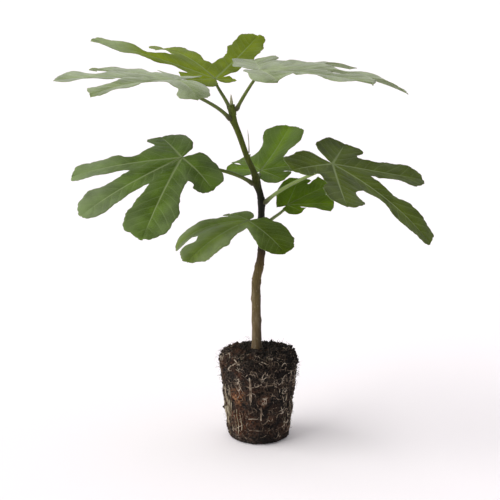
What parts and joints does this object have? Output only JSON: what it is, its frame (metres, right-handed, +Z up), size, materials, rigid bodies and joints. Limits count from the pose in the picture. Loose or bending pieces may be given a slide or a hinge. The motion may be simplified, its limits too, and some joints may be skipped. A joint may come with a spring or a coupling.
{
  "type": "young fig tree",
  "caption": "Young fig tree: one slim leaning stem with large hand-shaped lobed leaves on long stalks, standing on a bare, tapered root ball.",
  "frame": {"origin": "centre of the root ball's flat underside, on the surface it stands on", "axes": "+Z up along the tree; the front faces -Y and the stem's tip leans to -X; +X is right seen from the front"},
  "size_m": [0.3383, 0.2806, 0.3889],
  "materials": {
    "soil": "rough, crumbly, dark compost bound by roots",
    "bark": "matt, smooth young bark, brown at the foot and green at the tip",
    "bud_skin": "satin",
    "dry_skin": "dry and papery",
    "leaf_1_low_front_green": "softly matt upper side with pale ribs, paler underside",
    "leaf_2_low_back_green": "softly matt upper side with pale ribs, paler underside",
    "leaf_3_right_green": "softly matt upper side with pale ribs, paler underside",
    "leaf_4_left_green": "softly matt upper side with pale ribs, paler underside",
    "leaf_5_back_green": "softly matt upper side with pale ribs, paler underside",
    "leaf_6_top_left_green": "softly matt upper side with pale ribs, paler underside",
    "leaf_7_top_back_green": "softly matt upper side with pale ribs, paler underside",
    "leaf_8_top_right_green": "softly matt upper side with pale ribs, paler underside"
  },
  "bodies": {
    "root": {"root_ball": "soil", "stem": "bark", "terminal_bud": "bud_skin", "dry_stipule": "dry_skin", "leaf_1_low_front": "leaf_1_low_front_green", "leaf_2_low_back": "leaf_2_low_back_green", "leaf_3_right": "leaf_3_right_green", "leaf_4_left": "leaf_4_left_green", "leaf_5_back": "leaf_5_back_green", "leaf_6_top_left": "leaf_6_top_left_green", "leaf_7_top_back": "leaf_7_top_back_green", "leaf_8_top_right": "leaf_8_top_right_green"}
  },
  "joints": []
}
